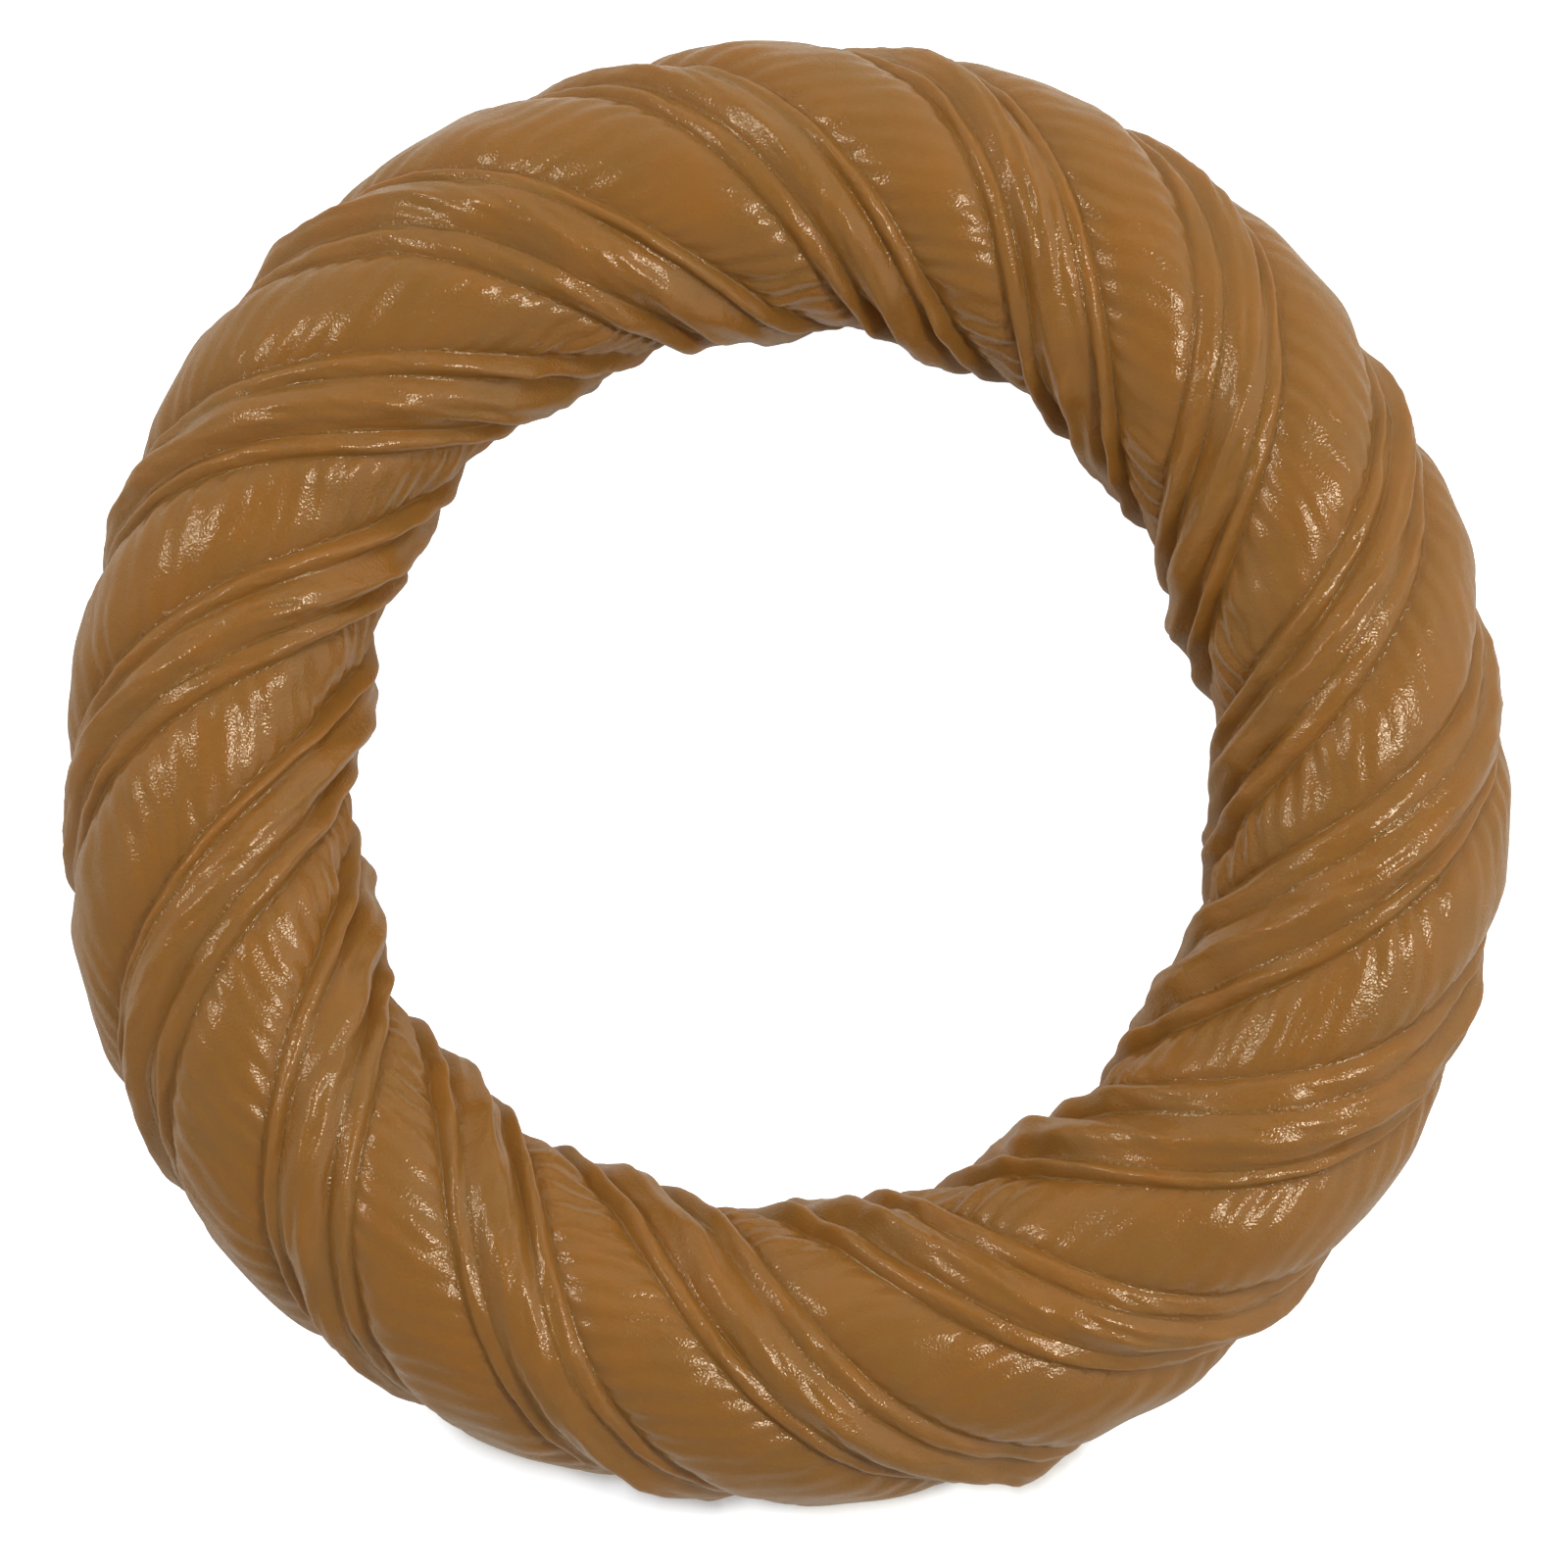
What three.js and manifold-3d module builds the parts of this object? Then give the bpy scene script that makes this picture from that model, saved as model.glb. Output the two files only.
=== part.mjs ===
// A chew ring for a large dog: one moulding of solid nylon, with the relief of a three-strand rope.
// Wide convex plies and bundles of cords wind round the ring side by side. A bundle is a thick cord
// with a thinner cord on either side of it. The ring lies flat, with its axis along +Z and z = 0 under it.
import * as THREE from "three";
import { mergeVertices } from "three/addons/utils/BufferGeometryUtils.js";
import Module from "manifold-3d";

// The ring, in millimetres. Each of its outOfRound entries says how many times it bulges round the
// ring, by how much, and in which direction, in degrees.
const centreLineRadius = 51.8; // from the ring's axis to the middle of its section
const outOfRound = [
  [2, 0.4, 80],
  [3, 0.35, 85],
  [4, 0.2, 46],
  [5, 0.25, 63],
];
const thickerBy = 0.2; // the section's radius is this much larger on one side of the ring
const thickerAngle = 285; // degrees, the direction of that side

// The section, in millimetres. Rises are counted from the bottom of the creases.
const creaseRadius = 12.2; // from the middle of the section to the bottom of a crease
const thickCordRise = 1.6;
const thinCordRise = 0.9; // of the cords on either side of the thick cord
const plyRise = 0.95;
const cordSwell = 0.2; // cords rise this much more on the hole's side, and less on the outside
const plySwell = 0.4; // plies rise this much more on the outside, and less on the hole's side
const holeDrop = 0.4; // creases and plies lie this much deeper right at the hole
const holeRise = 0.5; // and cords rise this much more there
const archPower = 0.75; // a band's arch is a sine to this power: below 1 makes its sides steeper

// The winding. Each angle, in degrees, is where a thick cord crosses the middle of the upper face. The
// widths, in millimetres, are measured round the section at the same fourteen places, where the thick
// cord has a middle cord on its one side and a thin cord on its other side.
const strandsInSection = 3;
const crossingAngles = [
  14.9, 39.2, 64.3, 87.1, 113, 141.2, 165.8, 191.3, 217.3, 242.5, 269.2, 295.4, 321.2, 349.1,
];
const thickCordWidths = [5.6, 6.5, 7.4, 6.5, 7.3, 6.5, 6.1, 6.7, 6.9, 7, 6.5, 6.2, 7.1, 7];
const middleCordWidths = [3.4, 3.9, 2.8, 3.4, 4, 3, 3.4, 3.8, 3.3, 2.8, 3.5, 3.3, 4.1, 4.2];
const thinCordWidths = [4, 2.7, 2.4, 2.8, 2.4, 3.3, 3.2, 2.2, 2.8, 3, 3, 3.5, 2.5, 3];

// A thick cord has one knob, on the ring's outside.
const knobAngle = 290; // degrees
const knobHeight = 1.5;
const knobSize = 4.5; // millimetres from its middle to where it is a third as high

// The underside: the lowest cords are cut flat this deep, so that the ring rests on their flats.
const restCut = 0.5;

// How finely the surface is divided.
const stationsPerCrossing = 8;

const fullTurn = 2 * Math.PI;
const upwards = Math.PI / 2; // the angle round the section that faces +Z; 0 faces outwards
const crossings = crossingAngles.length;
const strandWidth = (fullTurn * creaseRadius) / strandsInSection;

// The bands of one strand, in the order in which they lie side by side, each with the number of steps
// across it. The thin cord at the end belongs to the next strand.
const thickCord = { steps: 4, rise: thickCordRise, swell: -cordSwell, holeRise };
const middleCord = { steps: 3, rise: thinCordRise, swell: -cordSwell, holeRise };
const ply = { steps: 5, rise: plyRise, swell: plySwell, holeRise: 0 };
const thinCord = { steps: 3, rise: thinCordRise, swell: -cordSwell, holeRise };
const bands = [thickCord, middleCord, ply, thinCord];

// The crossings as a smooth curve, so that a strand drifts evenly from one measured angle to the next.
// The curve runs on by a few crossings at both ends, so that it is as smooth where the ring closes.
const runOn = 2;
const driftPoints = [];
for (let crossing = -runOn; crossing <= crossings + runOn; crossing++) {
  const turns = Math.floor(crossing / crossings);
  const degrees = crossingAngles[crossing - turns * crossings] + 360 * turns;
  driftPoints.push(new THREE.Vector2(crossing, degrees));
}
const drift = new THREE.SplineCurve(driftPoints);

// The angle round the ring, in radians, after a number of crossings that need not be whole.
function ringAngle(crossing) {
  const share = (crossing + runOn) / (driftPoints.length - 1);
  return THREE.MathUtils.degToRad(drift.getPoint(share).y);
}

// A cord's width on a strand. A strand is on top at every third crossing, and there its cords have the
// width given for that crossing; in between the width changes evenly.
function widthOnStrand(widths, strandNumber, crossing) {
  const laid = (crossing - strandNumber) / strandsInSection;
  const whole = Math.floor(laid);
  const first = THREE.MathUtils.euclideanModulo(strandNumber + strandsInSection * whole, crossings);
  const second = (first + strandsInSection) % crossings;
  return THREE.MathUtils.lerp(widths[first], widths[second], THREE.MathUtils.smoothstep(laid - whole, 0, 1));
}

// The angle round the section of what lies some millimetres beside the middle of a strand's thick cord.
// Cords are as wide near the hole as outside, although the ring is shorter round there, so they take
// more of the section's turn on the hole's side.
function aroundAt(strandNumber, beside, crossing) {
  let spread = 1;
  let around = 0;
  for (let round = 0; round < 4; round++) {
    const turn = strandNumber + (beside * spread) / strandWidth - crossing;
    around = upwards + (fullTurn * turn) / strandsInSection;
    spread = centreLineRadius / (centreLineRadius + creaseRadius * Math.cos(around));
  }
  return around;
}

// The creases between the bands of one strand, as angles round the section, from the thick cord's first.
function creases(strandNumber, crossing) {
  const width = (widths, number) => widthOnStrand(widths, number, crossing);
  const thick = width(thickCordWidths, strandNumber) / 2;
  const middle = width(middleCordWidths, strandNumber);
  const nextThick = width(thickCordWidths, strandNumber + 1) / 2;
  const nextThin = width(thinCordWidths, strandNumber + 1);
  return [
    aroundAt(strandNumber, -thick, crossing),
    aroundAt(strandNumber, thick, crossing),
    aroundAt(strandNumber, thick + middle, crossing),
    aroundAt(strandNumber + 1, -nextThick - nextThin, crossing),
    aroundAt(strandNumber + 1, -nextThick, crossing),
  ];
}

// A point of the surface, from its angles round the ring and the section, its band, and how far up the
// band's arch it lies, from 0 to 1.
function surfacePoint(angle, around, band, arch) {
  const atHole = Math.max(-Math.cos(around), 0) ** 2;
  const towards = (degrees, times) => Math.cos(times * (angle - THREE.MathUtils.degToRad(degrees)));
  const rise = band.rise + band.swell * Math.cos(around) + band.holeRise * atHole;
  const radius = creaseRadius + thickerBy * towards(thickerAngle, 1) - holeDrop * atHole + rise * arch;

  let centreLine = centreLineRadius;
  for (const [times, by, degrees] of outOfRound) {
    centreLine += by * towards(degrees, times);
  }
  const place = (outwards) => {
    const reach = centreLine + outwards * Math.cos(around);
    return new THREE.Vector3(reach * Math.cos(angle), reach * Math.sin(angle), outwards * Math.sin(around));
  };
  const point = place(radius);
  const knob = THREE.MathUtils.degToRad(knobAngle);
  const knobMiddle = new THREE.Vector3(Math.cos(knob), Math.sin(knob), 0);
  knobMiddle.multiplyScalar(centreLineRadius + creaseRadius + thickCordRise);
  const away = point.distanceTo(knobMiddle) / knobSize;
  return place(radius + knobHeight * Math.exp(-away * away));
}

// The whole surface as one closed mesh whose lines follow the strands. After a full turn of the ring
// the section has turned by a whole number of strands, so the last station meets the first shifted.
function reliefSurface() {
  const stations = crossings * stationsPerCrossing;
  const corners = [];
  for (let station = 0; station < stations; station++) {
    const crossing = station / stationsPerCrossing;
    const angle = ringAngle(crossing);
    for (let strandNumber = 0; strandNumber < strandsInSection; strandNumber++) {
      const edges = creases(strandNumber, crossing);
      bands.forEach((band, index) => {
        for (let step = 0; step < band.steps; step++) {
          const across = step / band.steps;
          const around = THREE.MathUtils.lerp(edges[index], edges[index + 1], across);
          corners.push(surfacePoint(angle, around, band, Math.sin(Math.PI * across) ** archPower));
        }
      });
    }
  }
  const pointsRound = corners.length / stations;
  const pointsOfStrand = pointsRound / strandsInSection;
  const cornerIndex = (station, around) => {
    const shift = station === stations ? -crossings * pointsOfStrand : 0;
    const wrapped = THREE.MathUtils.euclideanModulo(around + shift, pointsRound);
    return (station % stations) * pointsRound + wrapped;
  };
  const faces = [];
  for (let station = 0; station < stations; station++) {
    for (let around = 0; around < pointsRound; around++) {
      const a = cornerIndex(station, around);
      const b = cornerIndex(station + 1, around);
      const c = cornerIndex(station + 1, around + 1);
      const d = cornerIndex(station, around + 1);
      faces.push(a, b, d, b, c, d);
    }
  }
  const surface = new THREE.BufferGeometry().setFromPoints(corners);
  surface.setIndex(faces);
  return surface;
}

const wasm = await Module();
wasm.setup();

// A closed geometry as a solid that can be cut.
function solidOf(geometry) {
  const bare = geometry.clone();
  bare.deleteAttribute("normal");
  bare.deleteAttribute("uv");
  const merged = mergeVertices(bare);
  const vertProperties = new Float32Array(merged.attributes.position.array);
  const triVerts = new Uint32Array(merged.index.array);
  return new wasm.Manifold(new wasm.Mesh({ numProp: 3, vertProperties, triVerts }));
}

// A solid back as a geometry, with flat-shaded normals.
function geometryOf(solid) {
  const mesh = solid.getMesh();
  const geometry = new THREE.BufferGeometry();
  geometry.setAttribute("position", new THREE.BufferAttribute(mesh.vertProperties, 3));
  geometry.setIndex(new THREE.BufferAttribute(mesh.triVerts, 1));
  const faceted = geometry.toNonIndexed();
  faceted.computeVertexNormals();
  return faceted;
}

// The ring body: the relief, made round the middle of its section, cut flat underneath and lifted. It
// is moved sideways too, because it isn't quite round and the middle of its outline is put on the axis.
function ringBody() {
  const surface = reliefSurface();
  surface.computeBoundingBox();
  const size = surface.boundingBox.getSize(new THREE.Vector3());
  const middle = surface.boundingBox.getCenter(new THREE.Vector3());
  const floorHeight = surface.boundingBox.min.z + restCut;

  const block = new THREE.BoxGeometry(2 * size.x, 2 * size.y, size.z);
  block.translate(0, 0, floorHeight - size.z / 2);
  const body = geometryOf(solidOf(surface).subtract(solidOf(block)));

  const nylon = new THREE.MeshStandardMaterial({ color: 0x8c6235, roughness: 0.35, metalness: 0 });
  const mesh = new THREE.Mesh(body, nylon);
  mesh.name = "ring_body";
  mesh.position.set(-middle.x, -middle.y, -floorHeight);
  return mesh;
}

const chewRing = new THREE.Group();
chewRing.add(ringBody());

export default chewRing;
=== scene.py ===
# %% [markdown]
# # A nylon chew ring with the relief of a rope
#
# The real thing is one moulding of caramel brown nylon, about 130 mm across, that a large dog chews.
# Its surface imitates a rope: three wide plies and three bundles of cords wind round the ring side by
# side. This lesson builds that surface as meshes, finishes it in procedural nylon, and lights it as a
# small object is lit for a shop's picture. Lengths are written in millimetres and turned to metres
# where they meet Blender, but for the lamps and the camera, which are placed in metres.

# %% The frame that the ring is built in
import math

import bmesh
import bpy
import numpy as np
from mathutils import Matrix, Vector, noise


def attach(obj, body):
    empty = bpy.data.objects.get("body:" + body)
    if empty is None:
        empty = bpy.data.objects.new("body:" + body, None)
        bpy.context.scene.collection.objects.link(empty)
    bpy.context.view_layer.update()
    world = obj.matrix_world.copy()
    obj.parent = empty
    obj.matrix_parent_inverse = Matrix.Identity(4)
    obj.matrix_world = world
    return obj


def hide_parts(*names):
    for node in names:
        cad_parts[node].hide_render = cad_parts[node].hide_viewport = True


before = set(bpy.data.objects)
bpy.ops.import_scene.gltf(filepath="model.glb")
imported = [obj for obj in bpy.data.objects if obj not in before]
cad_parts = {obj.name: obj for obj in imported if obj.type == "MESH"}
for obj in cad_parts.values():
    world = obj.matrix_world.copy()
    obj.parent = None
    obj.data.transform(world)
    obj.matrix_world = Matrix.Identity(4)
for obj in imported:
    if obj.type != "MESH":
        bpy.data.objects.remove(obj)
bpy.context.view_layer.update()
MM = 0.001
scene = bpy.context.scene
scene.view_settings.view_transform = "Standard"

# %% [markdown]
# ## The sizes
#
# The moulding repeats one thing all the way round, so it has few sizes. A strand is a third of the
# section: a thick cord, a middle one, a ply and a thin cord. The solid has the same sizes, and the
# visual model uses them again, so that every cord lies where the solid has it. Rises are counted from
# the bottom of the creases. Plies swell towards the outside and cords towards the hole, and right at
# the hole the creases drop and the cords rise. Angles round the section start where it faces outwards,
# so a quarter turn faces up. The ring isn't quite round: each entry of OUT_OF_ROUND says how often it
# bulges, by how much, and in which direction.

# %% The sizes of the ring and of its strands
FULL_TURN = 2 * math.pi
UPWARDS = math.pi / 2
CENTRE_LINE_RADIUS = 51.8
OUT_OF_ROUND = [(2, 0.4, 80), (3, 0.35, 85), (4, 0.2, 46), (5, 0.25, 63)]
THICKER_BY, THICKER_ANGLE = 0.2, math.radians(285)
CENTRE_HEIGHT = 13.5
CENTRE_SHIFT = (-0.07, 0.01)
CREASE_RADIUS = 12.2
THICK_CORD_RISE, THIN_CORD_RISE = 1.6, 0.9
PLY_RISE = 0.95
CORD_SWELL, PLY_SWELL = 0.2, 0.4
HOLE_DROP, HOLE_RISE = 0.4, 0.5
STRANDS = 3
CROSSING_ANGLES = [
    14.9, 39.2, 64.3, 87.1, 113, 141.2, 165.8, 191.3, 217.3, 242.5, 269.2, 295.4, 321.2, 349.1,
]
CROSSINGS = len(CROSSING_ANGLES)
STRAND_WIDTH = FULL_TURN * CREASE_RADIUS / STRANDS
print("a strand is", round(STRAND_WIDTH, 2), "mm wide in the section")

# %% [markdown]
# ## The winding
#
# A cord crosses the upper face fourteen times on its way round, at angles read off the real ring,
# which drift a little because the pattern was carved by hand. A Catmull-Rom curve through those
# angles keeps the drift smooth. From one crossing to the next the section turns back by a third.


# %% The angle round the ring after any number of crossings
def ring_angle(crossing):
    """Radians round the ring, for an array of crossings that need not be whole."""
    whole = np.floor(crossing).astype(int)
    part = crossing - whole

    def angle_at(index):
        turns = np.floor_divide(index, CROSSINGS)
        return np.array(CROSSING_ANGLES, float)[index - turns * CROSSINGS] + 360 * turns

    before, start, end, after = (angle_at(whole + step) for step in (-1, 0, 1, 2))
    slope_in, slope_out = (end - before) / 2, (after - start) / 2
    cubic = 2 * start - 2 * end + slope_in + slope_out
    square = 3 * end - 3 * start - 2 * slope_in - slope_out
    return np.radians(cubic * part**3 + square * part**2 + slope_in * part + start)


print("a crossing every", round(360 / CROSSINGS, 2), "degrees on average")

# %% [markdown]
# The cords are as wide near the hole as outside, although the ring is shorter round there. So they
# take more of the section's turn on the hole's side, and the ply takes what is left. How much more
# depends on the turn itself, and four rounds settle the two. The carver made each crossing a little
# wider or narrower than the last, so a cord has a width at each of the fourteen crossings, and changes
# evenly from one to the next. A strand is back on top every third crossing.

# %% Round the section
ROUNDS_TO_SETTLE = 4


def around_at(strand, beside, crossing):
    """The angle round the section of what lies some mm beside the middle of a strand's thick cord."""
    spread = 1.0
    for _ in range(ROUNDS_TO_SETTLE):
        share = strand + beside * spread / STRAND_WIDTH - crossing
        around = UPWARDS + FULL_TURN * share / STRANDS
        spread = CENTRE_LINE_RADIUS / (CENTRE_LINE_RADIUS + CREASE_RADIUS * np.cos(around))
    return around


quarter_strand = math.degrees(around_at(0, STRAND_WIDTH / 4, 0) - UPWARDS)
print("on the upper face, a quarter of a strand is a turn of", round(quarter_strand, 1), "degrees")

# %% The width of each cord, in mm, at each crossing
THICK_CORD_WIDTHS = [5.6, 6.5, 7.4, 6.5, 7.3, 6.5, 6.1, 6.7, 6.9, 7, 6.5, 6.2, 7.1, 7]
MIDDLE_CORD_WIDTHS = [3.4, 3.9, 2.8, 3.4, 4, 3, 3.4, 3.8, 3.3, 2.8, 3.5, 3.3, 4.1, 4.2]
THIN_CORD_WIDTHS = [4, 2.7, 2.4, 2.8, 2.4, 3.3, 3.2, 2.2, 2.8, 3, 3, 3.5, 2.5, 3]


def along_strand(values, top_crossing, past):
    """The value on a strand, some crossings past the one where it was on top."""
    laid = past / STRANDS
    whole = np.floor(laid).astype(int)
    part = laid - whole
    ease = part * part * (3 - 2 * part)
    first = (top_crossing + STRANDS * whole) % CROSSINGS
    second = (first + STRANDS) % CROSSINGS
    return np.array(values)[first] * (1 - ease) + np.array(values)[second] * ease


print("cords are", min(THIN_CORD_WIDTHS), "to", max(THICK_CORD_WIDTHS), "mm wide")

# %% [markdown]
# ## A sheet to roll up
#
# Every piece starts as a flat grid, which is rolled into a tube and then closed into a ring: the
# points are carried to their places with numpy, and the points that meet along the two seams are
# merged. A spin would make the same blank, but it slows down badly with hundreds of steps. The sheet's
# side is 1, so that a point's place on it says what share of the way along and round it has come.

# %% A flat sheet and the two shares of each of its points
HALF_SIDE = 0.5


def places_of(mesh):
    """The places of a mesh's points, one row for each."""
    co = np.zeros(len(mesh.vertices) * 3)
    mesh.vertices.foreach_get("co", co)
    return co.reshape(-1, 3)


def flat_sheet(name, steps_along, steps_round):
    """A grid mesh, with how far along and how far round each point is, from 0 to 1."""
    bm = bmesh.new()
    bmesh.ops.create_grid(bm, x_segments=steps_along, y_segments=steps_round, size=HALF_SIDE)
    mesh = bpy.data.meshes.new(name)
    bm.to_mesh(mesh)
    bm.free()
    along, round_share, _ = places_of(mesh).T + HALF_SIDE
    return mesh, along, round_share


print("helpers for sheets:", places_of.__name__, flat_sheet.__name__)


# %% Places in the ring
def at_hole(around):
    """1 right at the hole, 0 on the outer half of the section."""
    return np.clip(-np.cos(around), 0, 1) ** 2


def outside(around):
    """1 right at the outer edge, 0 on the inner half of the section."""
    return np.clip(np.cos(around), 0, 1) ** 2


def place_in_ring(angle, around, radius):
    """Places in mm: radius is counted from the middle of the section, the angles are in radians."""
    centre_line = CENTRE_LINE_RADIUS
    for times, by, degrees in OUT_OF_ROUND:
        centre_line = centre_line + by * np.cos(times * (angle - math.radians(degrees)))
    radius = radius + THICKER_BY * np.cos(angle - THICKER_ANGLE) - HOLE_DROP * at_hole(around)
    reach = centre_line + radius * np.cos(around)
    height = np.maximum(CENTRE_HEIGHT + radius * np.sin(around), 0)
    across, up = reach * np.cos(angle), reach * np.sin(angle)
    return np.stack([across + CENTRE_SHIFT[0], up + CENTRE_SHIFT[1], height], axis=1)


on_top = place_in_ring(np.radians(CROSSING_ANGLES), UPWARDS, CREASE_RADIUS)
print("the first crossing lies at", on_top[0].round(1), "mm")

# %% [markdown]
# ## Small irregularities
#
# Nothing on the ring is quite regular: the master was carved and the plastic shrinks as it cools.
# Perlin noise gives that, and it is sampled at the point's own place in the ring, so that it closes
# on itself and comes out the same each time. Lumps are given by their size in mm, a seed and their
# height. The whole section swells and thins a little along the ring, and plies and cords share that.

# %% Noise for the relief
SEED_STEP = np.array([17.3, 5.1, 11.7])


def lumps(places, size, seed, height=1.0):
    """Perlin noise from minus to plus the height, at places in mm, with lumps of about size mm."""
    shifted = places / size + SEED_STEP * seed
    return height * np.array([noise.noise(Vector(place)) for place in shifted])


values = lumps(on_top, 5.0, 1)
print("noise at the crossings:", values.min().round(2), "to", values.max().round(2))

# %% How far the whole surface stands out
KNOB_ANGLE, KNOB_HEIGHT, KNOB_SIZE = math.radians(290), 1.5, 4.5
LONG_LUMPS, SHORT_LUMPS = (13.0, 4, 0.25), (5.0, 5, 0.28)
LUMPS_AT_HOLE, LUMPS_OUTSIDE = (4.0, 6, 0.8), (6.0, 7, 0.35)


def unevenness(angle, around):
    """How far the whole surface stands out here, in mm. One cord has a knob on the outside."""
    bare = place_in_ring(angle, around, CREASE_RADIUS)
    knob = place_in_ring(np.array([KNOB_ANGLE]), np.array([0.0]), CREASE_RADIUS)
    near_knob = np.exp(-(((bare - knob) / KNOB_SIZE) ** 2).sum(axis=1))
    low = lumps(bare, *LONG_LUMPS) + lumps(bare, *SHORT_LUMPS)
    low += at_hole(around) * lumps(bare, *LUMPS_AT_HOLE)
    low += outside(around) * lumps(bare, *LUMPS_OUTSIDE)
    return low + KNOB_HEIGHT * near_knob


at_knob = unevenness(np.array([KNOB_ANGLE]), np.array([0.0]))
print("the surface stands out", at_knob[0].round(2), "mm at the knob")

# %% [markdown]
# A band meets the bottom of a crease in a small fillet, as in any mould. No band stands more than
# thirty fillets above its feet, so a thick cord with low feet gets a flatter crown. The creases are
# deeper at both edges of the ring than on its faces, which shows in the two outlines.

# %% The fillets and the depth of the creases
FILLET = 0.04
TALLEST_IN_FILLETS = 30
DEEPER_OUTSIDE = 0.6
DEEPER_AT_HOLE = 0.4


def with_fillet(height):
    """The height where it is above zero, eased into zero, and held at the tallest."""
    in_fillets = np.clip(height / FILLET, -TALLEST_IN_FILLETS, TALLEST_IN_FILLETS)
    return FILLET * np.log1p(np.exp(in_fillets))


def crease_drop(around):
    """How much deeper, in mm, the bottom of a crease lies outside and at the hole."""
    return DEEPER_OUTSIDE * outside(around) + DEEPER_AT_HOLE * at_hole(around)


print("a fillet fills the corner of a crease by", with_fillet(0.0).round(3), "mm")

# %% [markdown]
# ## From points in place to a finished piece
#
# The seams of the rolled sheet are welded, and the normals are worked out again, because rolling can
# turn a sheet inside out. A piece faces outwards when its signed volume is positive. The edges that
# stay open are counted: the plies close, but a cord's long seam, at the edge of its foot, does not.
# Its two sides miss each other by 0.002 to 0.03 mm, which is more than the weld spans. Each piece
# carries an attribute of its own, from 0 to 1, that says how much painted shade a point gets in the
# creases and dents. The nylon reads it later, for that painted shade and for specks of grain in the
# creases.

# %% Weld a sheet and give it a mask
WELD_DISTANCE = 1e-6


def weld(mesh, is_turned):
    """Merges doubled points and turns the faces round if need be. Counts the open edges."""
    bm = bmesh.new()
    bm.from_mesh(mesh)
    bmesh.ops.remove_doubles(bm, verts=bm.verts, dist=WELD_DISTANCE)
    bmesh.ops.recalc_face_normals(bm, faces=bm.faces)
    if is_turned(bm):
        bmesh.ops.reverse_faces(bm, faces=bm.faces)
    open_edges = sum(not edge.is_manifold for edge in bm.edges)
    bm.to_mesh(mesh)
    bm.free()
    return open_edges


def keep_mask(mesh, name, values):
    """Stores a number for each point, which a material can read by its name."""
    mask = mesh.attributes.new(name, "FLOAT", "POINT")
    mask.data.foreach_set("value", values.astype(np.float32))


print("points up to", round(WELD_DISTANCE / MM, 4), "mm apart are welded")


# %% Finish a piece
def finished_piece(mesh, places, crease):
    """Welds the seams, turns the faces outwards and hands the piece to the frame."""
    mesh.vertices.foreach_set("co", (places * MM).ravel())
    # The crease mask says how much painted shade a point gets in the creases and dents.
    keep_mask(mesh, "crease", np.clip(crease, 0, 1))
    open_edges = weld(mesh, lambda bm: bm.calc_volume(signed=True) < 0)
    mesh.shade_smooth()
    piece = bpy.data.objects.new(mesh.name, mesh)
    scene.collection.objects.link(piece)
    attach(piece, "root")
    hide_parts("ring_body")
    print(mesh.name, len(mesh.polygons) * 2, "triangles,", open_edges, "open edges")
    return piece


# %% [markdown]
# ## The plies
#
# The three plies and the bed under the cords are one closed surface. A ply is a wide shallow arch
# between two bundles, and it is covered in fine ribs that run nearly along the ring, as the yarns of
# a rope do. The ribs are real relief, because they catch the light and show in the outline. They are
# soft in the middle of a ply, and deepest where it dives under a cord and on the side of the hole.
# They wander to and fro, by a height that is counted in ribs, and they come and go in patches.

# %% The ribs on the plies
RIBS_IN_SECTION = 36
RIB_TILT = 25
RIB_POWER = 1.5
RIB_DEPTH = 0.06
RIB_DEPTH_AT_EDGE = 0.12
RIB_DEPTH_IN_HOLE = 0.09
LONG_WANDER, SHORT_WANDER = (9.0, 1, 0.55), (3.5, 2, 0.25)
PATCHES = (7.0, 3, 1.2)
FAINTEST_PATCH, STRONGEST_PATCH = 0.35, 1.8


def ribs(angle, around, bare):
    """The height of the ribs, from -1 to 1: rounded crests and narrower valleys."""
    wander = lumps(bare, *LONG_WANDER) + lumps(bare, *SHORT_WANDER)
    phase = RIBS_IN_SECTION * around - RIB_TILT * angle + FULL_TURN * wander
    return 2 * np.abs(np.sin(phase / 2)) ** RIB_POWER - 1


def rib_depth(around, bare, edge):
    """The depth of the ribs in mm, for places that lie more or less at the edge of a ply."""
    depth = RIB_DEPTH + (RIB_DEPTH_AT_EDGE - RIB_DEPTH) * edge + RIB_DEPTH_IN_HOLE * at_hole(around)
    return depth * np.clip(1 + lumps(bare, *PATCHES), FAINTEST_PATCH, STRONGEST_PATCH)


print("a rib is about", round(FULL_TURN * CREASE_RADIUS / RIBS_IN_SECTION, 1), "mm wide")

# %% [markdown]
# The rows of the sheet follow the strands, so that a crease always lies on an edge of the mesh. A few
# rows lie under each bundle of cords and the rest over the ply, crowded towards its two edges, where
# the relief turns sharply. The sheet's other lines slant along the ribs.

# %% The rows of the sheet
STEPS_ALONG = 1120
BED_STEPS, PLY_STEPS = 3, 26
ROWS_IN_STRAND = BED_STEPS + PLY_STEPS
PLY_CROWDING = 0.75


def crowd_edges(across, share):
    """Moves points between -1 and 1 towards both ends, by a share from 0 to 1."""
    return (1 - share) * across + share * np.sin(across * math.pi / 2)


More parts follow.
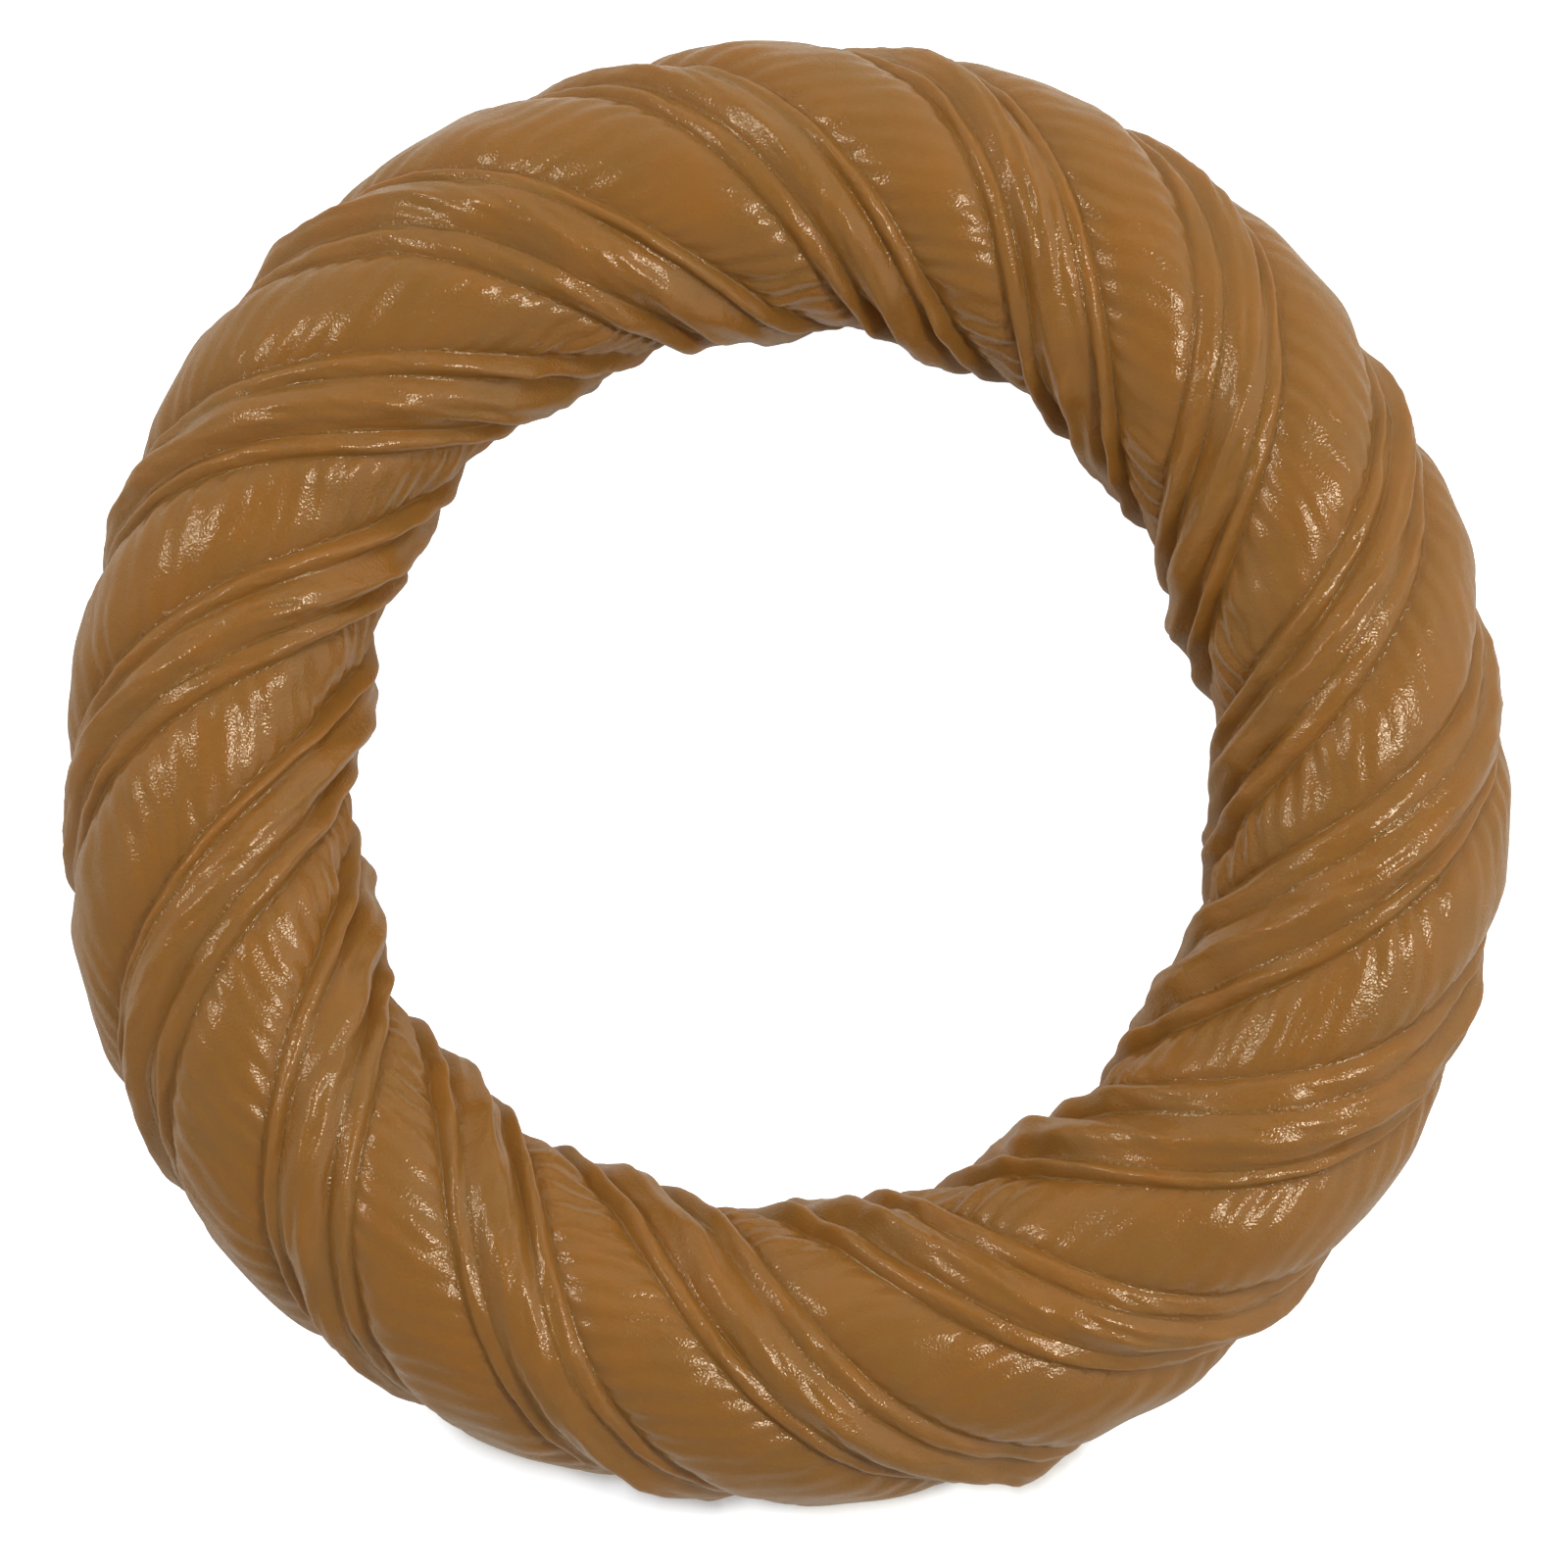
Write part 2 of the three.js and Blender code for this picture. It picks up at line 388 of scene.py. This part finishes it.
def ply_rows(round_share):
    """The strand of each point, how far under its cords it is, 0 to 1, and across its ply, -1 to 1."""
    row = np.round(round_share * STRANDS * ROWS_IN_STRAND)
    strand = np.floor(row / ROWS_IN_STRAND).astype(int)
    row -= strand * ROWS_IN_STRAND
    under = np.clip(row / BED_STEPS, 0, 1)
    across = 2 * np.clip((row - BED_STEPS) / PLY_STEPS, 0, 1) - 1
    return strand, under, crowd_edges(across, PLY_CROWDING)


def bundle_edges(strand, crossing):
    """The angles round the section where a strand's thin cord begins and its middle cord ends."""
    thick, middle, thin = (
        along_strand(widths, strand, crossing - strand)
        for widths in (THICK_CORD_WIDTHS, MIDDLE_CORD_WIDTHS, THIN_CORD_WIDTHS)
    )
    begins = around_at(strand, -thick / 2 - thin, crossing)
    return begins, around_at(strand, thick / 2 + middle, crossing)


print("the plies' sheet is", STEPS_ALONG, "by", STRANDS * ROWS_IN_STRAND, "faces")

# %% The relief of the plies
BED_DROP = 0.6
PLY_FOOT_HEIGHT = 0.1
RIB_SLANT = 0.43
# How much painted shade darkens the colour in the creases and in dents.
PAINTED_SHADE_IN_CREASE, PAINTED_SHADE_IN_DENT = 0.3, 0.15


def make_plies():
    """The three plies and the bed, as one closed surface."""
    mesh, along, round_share = flat_sheet("plies", STEPS_ALONG, STRANDS * ROWS_IN_STRAND)
    strand, under, across = ply_rows(round_share)
    over = (across + 1) / 2
    crossing = CROSSINGS * along + RIB_SLANT * np.where(under < 1, 1 - under, over)
    thin_edge, middle_edge = bundle_edges(strand, crossing)
    next_edge, _ = bundle_edges(strand + 1, crossing)
    around = thin_edge * (1 - under) + middle_edge * under
    around += (next_edge - middle_edge) * over
    angle = ring_angle(crossing)

    edge = np.abs(across) ** 3
    bare = place_in_ring(angle, around, CREASE_RADIUS)
    rib = ribs(angle, around, bare)
    arch = (PLY_RISE - PLY_FOOT_HEIGHT + PLY_SWELL * np.cos(around)) * (1 - edge)
    arch += rib_depth(around, bare, edge) * rib * (1 - edge**4)
    radius = CREASE_RADIUS + PLY_FOOT_HEIGHT + with_fillet(arch) + unevenness(angle, around)
    radius -= BED_DROP * np.sin(math.pi * under) + crease_drop(around) * edge
    # Painted shade: the colour is darker at the ply's edges, where it dives into the creases, and in
    # the valleys of the ribs near them.
    crease = PAINTED_SHADE_IN_CREASE * edge**4 + PAINTED_SHADE_IN_DENT * np.clip(-rib, 0, 1) * edge
    return finished_piece(mesh, place_in_ring(angle, around, radius), crease)


plies = make_plies()

# %% [markdown]
# ## The cords
#
# A cord is a closed loop: it goes three times round the ring and winds fourteen times round the
# section before it meets itself. Its upper side is a low arch, with a fillet and a narrow apron where
# it meets its neighbours, as moulded relief has. Its lower side is sunk in the bed. Long wandering
# ridges and short lumps break up its crown.

# %% The section of a cord
SHOWN_SHARE = 0.8
CORD_CROWDING = 0.6
FOOT_WIDTH = 1.08
ARCH_POWER = 1.2
CORD_SINK = 1.2


def cord_section(round_share, rise, foot_heights):
    """How far across, about -1 to 1, how high, in mm, and the bare arch, for points round a section."""
    shown = round_share < SHOWN_SHARE
    upper = crowd_edges(2 * np.clip(round_share / SHOWN_SHARE, 0, 1) - 1, CORD_CROWDING)
    lower = np.clip((round_share - SHOWN_SHARE) / (1 - SHOWN_SHARE), 0, 1)
    across = np.where(shown, upper, 1 - 2 * lower) * FOOT_WIDTH
    foot = foot_heights[0] + (foot_heights[1] - foot_heights[0]) * (across + 1) / 2
    inside = 1 - across**2
    arch = np.sign(inside) * np.abs(inside) ** ARCH_POWER
    sunk = -CORD_SINK * np.sin(math.pi * lower)
    height = foot + np.where(shown, with_fillet(arch * (rise - foot)), sunk)
    return across, height, np.where(shown, np.clip(arch, 0, 1), 0)


crown_height = cord_section(np.array([SHOWN_SHARE / 2]), THIN_CORD_RISE, (0, 0))[1]
print("the crown of a thin cord stands", crown_height[0].round(2), "mm above the creases")

# %% [markdown]
# The noise for a cord is sampled along an unrolled copy of it, a circle as long as the whole loop, so
# that ridges run along the cord and meet where the loop closes. The valley between two cords of a
# bundle comes and goes, and both cords take its height from the same noise, so that they meet in it.
# There the thick cord's foot lies a hair over its neighbour's, so that the two don't share a surface.

# %% The valleys between the cords of a bundle
LOOP_RADIUS = 232.0
VALLEY_HEIGHT = 0.5
VALLEY_LENGTH, VALLEY_SEED, VALLEY_CHANGE = 10.0, 50, 0.75
LOWEST_VALLEY, HIGHEST_VALLEY = 0.12, 0.84
OUTER_FOOT_HEIGHT = 0.12
THICK_FOOT_OVER = 0.02


def valley_height(on_circle, side):
    """The height of the valley between the thick cord and the cord on one side."""
    change = lumps(on_circle, VALLEY_LENGTH, VALLEY_SEED + side, VALLEY_CHANGE)
    return np.clip(VALLEY_HEIGHT + change, LOWEST_VALLEY, HIGHEST_VALLEY)


def feet_of_cord(on_circle, side):
    """The heights of a cord's two feet, in mm."""
    if side == 0:
        return [valley_height(on_circle, beside) + THICK_FOOT_OVER for beside in (-1, 1)]
    if side == 1:
        return valley_height(on_circle, 1), OUTER_FOOT_HEIGHT
    return OUTER_FOOT_HEIGHT, valley_height(on_circle, -1)


print("valleys lie", LOWEST_VALLEY, "to", HIGHEST_VALLEY, "mm above the creases")


# %% The path of a cord
def cord_path(crossing, side):
    """A cord's width and how far beside the thick cord it lies, in mm, and the angle round the ring."""
    thick = along_strand(THICK_CORD_WIDTHS, 0, crossing)
    beside = along_strand(MIDDLE_CORD_WIDTHS if side > 0 else THIN_CORD_WIDTHS, 0, crossing)
    lap = np.minimum(np.floor(crossing / CROSSINGS), STRANDS - 1)
    angle = ring_angle(crossing - lap * CROSSINGS)
    return beside if side else thick, side * (thick + beside) / 2, angle


between_cords = cord_path(np.array([0.0]), 1)[1]
print("from thick to middle cord:", between_cords[0].round(2), "mm at the first crossing")

# %% The ridges and lumps on a cord
RIDGE_GRAIN = np.array([0.11, 0.11, 0.6])
LUMP_GRAIN = np.array([0.4, 0.4, 0.6])
FINE_LUMP_SIZE, FINE_LUMP_SHARE = 0.9, 0.35
FEWER_LUMPS_AT_HOLE = 0.5


def carve(on_cord, around, ridge_height, lump_height, seed):
    """The height of the carving on a cord, in mm, and its short lumps alone, from -1 to 1."""
    ridges = lumps(on_cord * RIDGE_GRAIN, 1.0, seed + 1)
    short = lumps(on_cord * LUMP_GRAIN, 1.0, seed + 2)
    fine = lumps(on_cord, FINE_LUMP_SIZE, seed + 3, FINE_LUMP_SHARE)
    carving = ridge_height * ridges * (1 + at_hole(around))
    carving += lump_height * (short + fine) * (1 - FEWER_LUMPS_AT_HOLE * at_hole(around))
    return carving, short


ridge_stretch = RIDGE_GRAIN[2] / RIDGE_GRAIN[0]
print("a ridge is about", ridge_stretch.round(1), "times as long as it is wide")

# %% Wind a cord
WANDER_LENGTH, WANDER_HEIGHT = 9.0, 0.12
SIDE_CORD_LOWER_OUTSIDE = 0.35
CARVED_POWER = 0.7
THICK_CORD_STEPS = (2300, 40)


def make_cord(name, side, rise, steps, ridge_height, lump_height, seed):
    """A cord on one side of the thick one, 1 or -1, or the thick cord itself, 0."""
    mesh, along, round_share = flat_sheet(name, *steps)
    loop = FULL_TURN * along
    on_circle = np.stack([np.cos(loop), np.sin(loop), 0 * loop], axis=1) * LOOP_RADIUS
    across, height, arch = cord_section(round_share, rise, feet_of_cord(on_circle, side))
    crossing = along * CROSSINGS * STRANDS
    width, middle, angle = cord_path(crossing, side)
    sideways = across * width / 2
    wander = lumps(on_circle, WANDER_LENGTH, seed, WANDER_HEIGHT)
    around = around_at(0, middle + sideways + wander, crossing)
    on_cord = on_circle + np.outer(sideways, [0, 0, 1])
    carving, short = carve(on_cord, around, ridge_height, lump_height, seed)

    height += arch * (HOLE_RISE * at_hole(around) - CORD_SWELL * np.cos(around))
    height -= arch * abs(side) * SIDE_CORD_LOWER_OUTSIDE * outside(around)
    height += arch**CARVED_POWER * carving
    height -= crease_drop(around) * (1 - arch)
    radius = CREASE_RADIUS + height + unevenness(angle, around)
    # Painted shade: the colour is darker at a cord's feet, in the creases, and in the dents between its
    # lumps.
    crease = PAINTED_SHADE_IN_CREASE * (1 - arch) ** 3 + PAINTED_SHADE_IN_DENT * np.clip(-short, 0, 1)
    return finished_piece(mesh, place_in_ring(angle, around, radius), crease)


thick_cord = make_cord(
    "thick_cord", 0, THICK_CORD_RISE, THICK_CORD_STEPS, ridge_height=0.36, lump_height=0.26, seed=11
)

# %% The cords on either side of the thick one
SIDE_CORD_STEPS = (2300, 28)
middle_cord = make_cord(
    "middle_cord", 1, THIN_CORD_RISE, SIDE_CORD_STEPS, ridge_height=0.22, lump_height=0.22, seed=21
)
thin_cord = make_cord(
    "thin_cord", -1, THIN_CORD_RISE, SIDE_CORD_STEPS, ridge_height=0.2, lump_height=0.2, seed=31
)
cords = [thick_cord, middle_cord, thin_cord]

# %% [markdown]
# ## Nylon
#
# Moulded nylon is a half gloss plastic that lets light a little way in. Its colour is nearly even,
# and slightly more orange in patches where the plastic glows. The creases are painted darker, as
# painted shade. The mould leaves a very fine grain that breaks the highlights up, and in the creases
# it was left rougher, so that they glitter in specks. The grain and the colour drift with its painted
# shade are node groups, so that each is built once with its own named inputs.


# %% Nodes and their inputs
def fill_inputs(tree, node, inputs):
    """Links an input to the socket that is given for it, or sets it to the value that is given."""
    for name, value in inputs.items():
        if isinstance(value, bpy.types.NodeSocket):
            tree.links.new(value, node.inputs[name])
        else:
            node.inputs[name].default_value = value


def add_node(tree, kind, inputs=None, **settings):
    """A shader node of one kind, with its settings made and its inputs filled."""
    node = tree.nodes.new("ShaderNode" + kind)
    for name, value in settings.items():
        setattr(node, name, value)
    fill_inputs(tree, node, inputs or {})
    return node


def new_group(name, inputs, outputs):
    """An empty node group with named sockets, and the sockets at its two ends."""
    group = bpy.data.node_groups.new(name, "ShaderNodeTree")
    for label, kind, value in inputs:
        socket = group.interface.new_socket(label, in_out="INPUT", socket_type=kind)
        if value is not None:
            socket.default_value = value
    for label, kind in outputs:
        group.interface.new_socket(label, in_out="OUTPUT", socket_type=kind)
    given = group.nodes.new("NodeGroupInput").outputs
    return group, given, group.nodes.new("NodeGroupOutput").inputs


print("helpers for nodes:", fill_inputs.__name__, add_node.__name__, new_group.__name__)


# %% Values that the materials are made of
def noise_texture(tree, vector, scale, detail, roughness=0.5):
    """A grey noise."""
    inputs = {"Vector": vector, "Scale": scale, "Detail": detail, "Roughness": roughness}
    return add_node(tree, "TexNoise", inputs).outputs["Fac"]


def ramp(tree, value, start, end, low, high, shape="LINEAR"):
    """A value that goes from low to high while another goes from start to end."""
    inputs = {"Value": value, "From Min": start, "From Max": end, "To Min": low, "To Max": high}
    return add_node(tree, "MapRange", inputs, interpolation_type=shape).outputs["Result"]


def blend(tree, share, first, second, kind):
    """A blend of two numbers or of two colours."""
    inputs = {"Factor": share, "A": first, "B": second}
    return add_node(tree, "Mix", inputs, data_type=kind).outputs["Result"]


def sum_up(tree, operation, *values):
    """One sum, such as ADD, with two or three numbers."""
    return add_node(tree, "Math", dict(enumerate(values)), operation=operation).outputs["Value"]


print("values:", noise_texture.__name__, ramp.__name__, blend.__name__, sum_up.__name__)

# %% The grain that the mould leaves
SPECKS_FROM, SPECKS_FULL = 0.2, 0.3


def mould_grain():
    """A height for a bump: fine sparkle over a longer ripple, and deep specks in the creases."""
    group, given, result = new_group(
        "mould grain",
        [
            ("Vector", "NodeSocketVector", None),
            ("Fine Scale", "NodeSocketFloat", 4600.0),
            ("Ripple Scale", "NodeSocketFloat", 700.0),
            ("Ripple Share", "NodeSocketFloat", 0.62),
            ("Crease Mask", "NodeSocketFloat", 0.0),
            ("Crease Scale", "NodeSocketFloat", 2200.0),
            ("Crease Depth", "NodeSocketFloat", 2.0),
        ],
        [("Height", "NodeSocketFloat")],
    )
    place = given["Vector"]
    fine = noise_texture(group, place, given["Fine Scale"], detail=0.0)
    ripple = noise_texture(group, place, given["Ripple Scale"], detail=3.0, roughness=0.55)
    specks = noise_texture(group, place, given["Crease Scale"], detail=1.0)
    smooth = blend(group, given["Ripple Share"], fine, ripple, "FLOAT")
    depth = ramp(group, given["Crease Mask"], SPECKS_FROM, SPECKS_FULL, 0, given["Crease Depth"])
    total = sum_up(group, "MULTIPLY_ADD", specks, depth, smooth)
    group.links.new(total, result["Height"])
    return group


GRAIN = mould_grain()
print("node group:", GRAIN.name)

# %% The drift of the colour, and painted shade in the creases
GLOW_FROM, GLOW_FULL = 0.35, 0.7


def colour_with_painted_shade():
    """The nylon's colour, with patches that glow, and painted shade that darkens the creases."""
    group, given, result = new_group(
        "nylon colour and painted shade",
        [
            ("Vector", "NodeSocketVector", None),
            ("Body", "NodeSocketColor", (0.26, 0.12, 0.0245, 1)),
            ("Glow", "NodeSocketColor", (0.295, 0.123, 0.02, 1)),
            # Crease is the colour of the painted shade in the creases and dents; Crease Mask says how
            # much of it a point gets.
            ("Crease", "NodeSocketColor", (0.195, 0.077, 0.015, 1)),
            ("Crease Mask", "NodeSocketFloat", 0.0),
            ("Patch Scale", "NodeSocketFloat", 110.0),
        ],
        [("Color", "NodeSocketColor")],
    )
    patch = noise_texture(group, given["Vector"], given["Patch Scale"], detail=3.0, roughness=0.55)
    glowing = ramp(group, patch, GLOW_FROM, GLOW_FULL, 0, 1)
    patchy = blend(group, glowing, given["Body"], given["Glow"], "RGBA")
    # Painted shade: the colour turns towards the darker crease colour where the mask says.
    shaded = blend(group, given["Crease Mask"], patchy, given["Crease"], "RGBA")
    group.links.new(shaded, result["Color"])
    return group


COLOUR_AND_PAINTED_SHADE = colour_with_painted_shade()
print("node group:", COLOUR_AND_PAINTED_SHADE.name)

# %% [markdown]
# Light goes less than a millimetre into the nylon, and red goes deepest. The reflections are tinted a
# little warm. Each piece has a material of its own, so that the patches of colour can be finer on the
# cords than on the plies. The patches and the grain follow the piece's own place, and the mask says
# where its creases are and how much painted shade they get.

# %% The nylon material
PLY_PATCH_SCALE, CORD_PATCH_SCALE = 110.0, 140.0


def nylon(name, patch_scale):
    """Half gloss caramel brown nylon, with patches of a given scale."""
    material = bpy.data.materials.new(name)
    material.use_nodes = True
    tree = material.node_tree
    place = add_node(tree, "TexCoord").outputs["Object"]
    # The crease mask holds the painted shade of the creases and dents, and where the creases get their
    # specks.
    crease = add_node(tree, "Attribute", attribute_name="crease").outputs["Fac"]
    drift = {"Vector": place, "Crease Mask": crease, "Patch Scale": patch_scale}
    colour = add_node(tree, "Group", drift, node_tree=COLOUR_AND_PAINTED_SHADE)
    grain = add_node(tree, "Group", {"Vector": place, "Crease Mask": crease}, node_tree=GRAIN)
    relief = {"Height": grain.outputs["Height"], "Strength": 0.5, "Distance": 0.2 * MM}
    settings = {
        "Base Color": colour.outputs["Color"],
        "Normal": add_node(tree, "Bump", relief).outputs["Normal"],
        "Roughness": 0.22,
        "IOR": 1.53,
        "Specular Tint": (1, 0.85, 0.64, 1),
        "Subsurface Weight": 0.7,
        "Subsurface Radius": (1.0, 0.5, 0.2),
        "Subsurface Scale": 0.8 * MM,
    }
    fill_inputs(tree, tree.nodes["Principled BSDF"], settings)
    return material


plies.data.materials.append(nylon("nylon_plies", PLY_PATCH_SCALE))
for cord in cords:
    cord.data.materials.append(nylon("nylon_" + cord.name, CORD_PATCH_SCALE))
print("materials:", [piece.data.materials[0].name for piece in [plies] + cords])

# %% [markdown]
# ## Floor, light and camera
#
# The picture that the ring follows has a white ground with hardly any shadow, only a narrow soft one
# along the ring's lower edge. The floor here is pale and takes a real shadow, and a camera ray sees
# most of it as plain white, so the lamps can stay at a level at which a colour renders as it is
# written. In a band along the lower edge the camera sees the floor less white, fading out from the
# ring's outline: that is a painted shadow, and the real shadow shows through it as well. The band
# follows the ring's own outline, so that it is even. The floor lies a hair below the flats that the
# ring rests on, so that the two don't share a plane.

# %% The ring's outline on the floor
FLOOR_STEPS = 480
OUTLINE_ON_FLOOR = 1.015


def floor_step(turn):
    """The number of the floor's step at a share of the turn round it."""
    return np.round(turn * FLOOR_STEPS).astype(int) % FLOOR_STEPS


def outline_on_floor(pieces):
    """The pieces' outer radius, in mm, at even steps round them, as a camera sees it on the floor."""
    outline = np.zeros(FLOOR_STEPS)
    for piece in pieces:
        x, y, _ = places_of(piece.data).T / MM
        np.maximum.at(outline, floor_step(np.arctan2(y, x) / FULL_TURN), np.hypot(x, y))
    return outline * OUTLINE_ON_FLOOR


ring_outline = outline_on_floor([plies] + cords)
print("outline on the floor:", ring_outline.min().round(1), "to", ring_outline.max().round(1), "mm")

# %% The sheet of the floor
FLOOR_ROWS = 60
FLOOR_HEIGHT = -0.02
ROW_SHARES, ROW_RADII = [0, 0.05, 0.9, 1], [0, 60, 72, 800]
WHITE_AT_RING = 0.25
SHADOW_FADE = 1.3
SHADOW_BEARING = math.radians(268.6)
SHADOW_ENDS = math.radians(24.5), math.radians(30)


def floor_sheet(outline):
    """A round sheet with narrow rows at the ring's edge, and a mask of how white a camera sees it."""
    mesh, along, row_share = flat_sheet("floor", FLOOR_STEPS, FLOOR_ROWS)
    bearing = FULL_TURN * along
    radius = np.interp(row_share, ROW_SHARES, ROW_RADII)
    height = np.full_like(radius, FLOOR_HEIGHT)
    co = np.stack([radius * np.cos(bearing), radius * np.sin(bearing), height], axis=1) * MM
    mesh.vertices.foreach_set("co", co.ravel())

    # Painted shadow: below the ring the camera sees the floor less white, most of all at the ring's
    # outline, fading out over SHADOW_FADE mm and towards both ends of the band.
    past_ring = np.maximum(radius - outline[floor_step(along)], 0)
    from_middle = np.abs(bearing - SHADOW_BEARING)
    shadow = (1 - WHITE_AT_RING) * np.exp(-past_ring / SHADOW_FADE)
    shadow *= np.interp(from_middle, SHADOW_ENDS, [1, 0]) * (radius > CENTRE_LINE_RADIUS)
    keep_mask(mesh, "white", 1 - shadow)
    weld(mesh, lambda bm: bm.faces[:][0].normal.z < 0)
    return mesh


floor_mesh = floor_sheet(ring_outline)
print("floor:", len(floor_mesh.polygons), "faces")


# %% The floor
def make_floor(mesh):
    """A pale floor that a camera sees as white where its mask says so."""
    floor = bpy.data.objects.new("floor", mesh)
    scene.collection.objects.link(floor)
    material = bpy.data.materials.new("pale floor")
    material.use_nodes = True
    tree = material.node_tree
    white = add_node(tree, "Attribute", attribute_name="white").outputs["Fac"]
    camera_ray = add_node(tree, "LightPath").outputs["Is Camera Ray"]
    # The camera sees the floor as white by its mask, which holds the painted shadow band.
    settings = {
        "Base Color": (0.81, 0.77, 0.67, 1),
        "Roughness": 0.9,
        "Emission Color": (0.9, 0.94, 1, 1),
        "Emission Strength": sum_up(tree, "MULTIPLY", camera_ray, white),
    }
    fill_inputs(tree, tree.nodes["Principled BSDF"], settings)
    mesh.materials.append(material)
    print("material:", material.name)


make_floor(floor_mesh)

# %% [markdown]
# The light is that of a pale tent with two small soft boxes, which give the narrow highlights, and a
# fill that doesn't show in the gloss. The tent is darker overhead, because all that faces the camera
# mirrors it there, and brighter towards the top and the right of the picture. It glows low at the
# right, which lights the right edges of the ring.

# %% The sky
OVERHEAD_FROM, OVERHEAD_FULL = 0.55, 0.95
RIGHT_FROM, RIGHT_FULL = 0.65, 0.95


def make_sky(around_strength, overhead_strength, slope, glow_at_right):
    """A pale tent: its strength all round and overhead, its slope, and its extra glow at the right."""
    world = bpy.data.worlds.new("pale studio")
    scene.world = world
    world.use_nodes = True
    tree = world.node_tree
    direction = add_node(tree, "TexCoord").outputs["Generated"]
    x, _, z = add_node(tree, "SeparateXYZ", {"Vector": direction}).outputs
    ends = around_strength, overhead_strength
    strength = ramp(tree, z, OVERHEAD_FROM, OVERHEAD_FULL, *ends, shape="SMOOTHSTEP")
    at_right = ramp(tree, x, RIGHT_FROM, RIGHT_FULL, 1, 1 + glow_at_right, shape="SMOOTHSTEP")
    tilt = add_node(tree, "VectorMath", {0: direction, 1: slope}, operation="DOT_PRODUCT")
    uneven = sum_up(tree, "ADD", tilt.outputs["Value"], at_right)
    light = {"Color": (1, 1, 1, 1), "Strength": sum_up(tree, "MULTIPLY", strength, uneven)}
    fill_inputs(tree, tree.nodes["Background"], light)
    print("sky:", around_strength, "all round,", overhead_strength, "overhead")


make_sky(around_strength=0.595, overhead_strength=0.25, slope=(0.1, 0.3, 0), glow_at_right=0.75)

# %% The lamps
RING_MIDDLE = Vector((0, 0, CENTRE_HEIGHT * MM))


def make_lamp(name, direction, distance, width, height, watts, shines=True):
    """A soft box that looks at the ring from a direction. It may be kept out of the gloss."""
    data = bpy.data.lights.new(name, "AREA")
    data.shape = "RECTANGLE"
    data.size = width
    data.size_y = height
    data.energy = watts
    lamp = bpy.data.objects.new(name, data)
    scene.collection.objects.link(lamp)
    towards = Vector(direction).normalized()
    lamp.location = RING_MIDDLE + towards * distance
    lamp.rotation_euler = towards.to_track_quat("Z", "Y").to_euler()
    lamp.visible_glossy = shines
    print(name, watts, "W")


make_lamp("right_soft_box", (0.55, 0.02, 0.84), distance=0.8, width=0.07, height=0.18, watts=2.1)
make_lamp("left_soft_box", (-0.62, 0.25, 0.74), distance=0.8, width=0.055, height=0.13, watts=1.1)
make_lamp("top_fill", (0, 0.45, 0.89), distance=1.0, width=0.3, height=0.2, watts=2.9, shines=False)

# %% [markdown]
# The camera looks straight down on the ring, which is how the ring shows its whole face. A long lens
# keeps the tube from looking fatter at the middle of the picture. The ring sits a little above the
# middle of the frame, as it does in the picture that this follows.

# %% The camera
PICTURE_SIDE = 1600
RING_CENTRE_PX = (800.75, 789.05)
MM_PER_PX = 0.0876
CAMERA_DISTANCE = 0.9
SENSOR = 36.0


def make_camera():
    """A camera straight above the ring, placed by where the ring's middle lies in the picture."""
    data = bpy.data.cameras.new("camera")
    data.sensor_width = SENSOR
    data.lens = SENSOR * CAMERA_DISTANCE / (PICTURE_SIDE * MM_PER_PX * MM)
    camera = bpy.data.objects.new("camera", data)
    scene.collection.objects.link(camera)
    middle = PICTURE_SIDE / 2
    right = (middle - RING_CENTRE_PX[0]) * MM_PER_PX * MM
    up = (RING_CENTRE_PX[1] - middle) * MM_PER_PX * MM
    camera.location = (right, up, RING_MIDDLE.z + CAMERA_DISTANCE)
    scene.camera = camera
    print("lens", round(data.lens, 1), "mm")


make_camera()
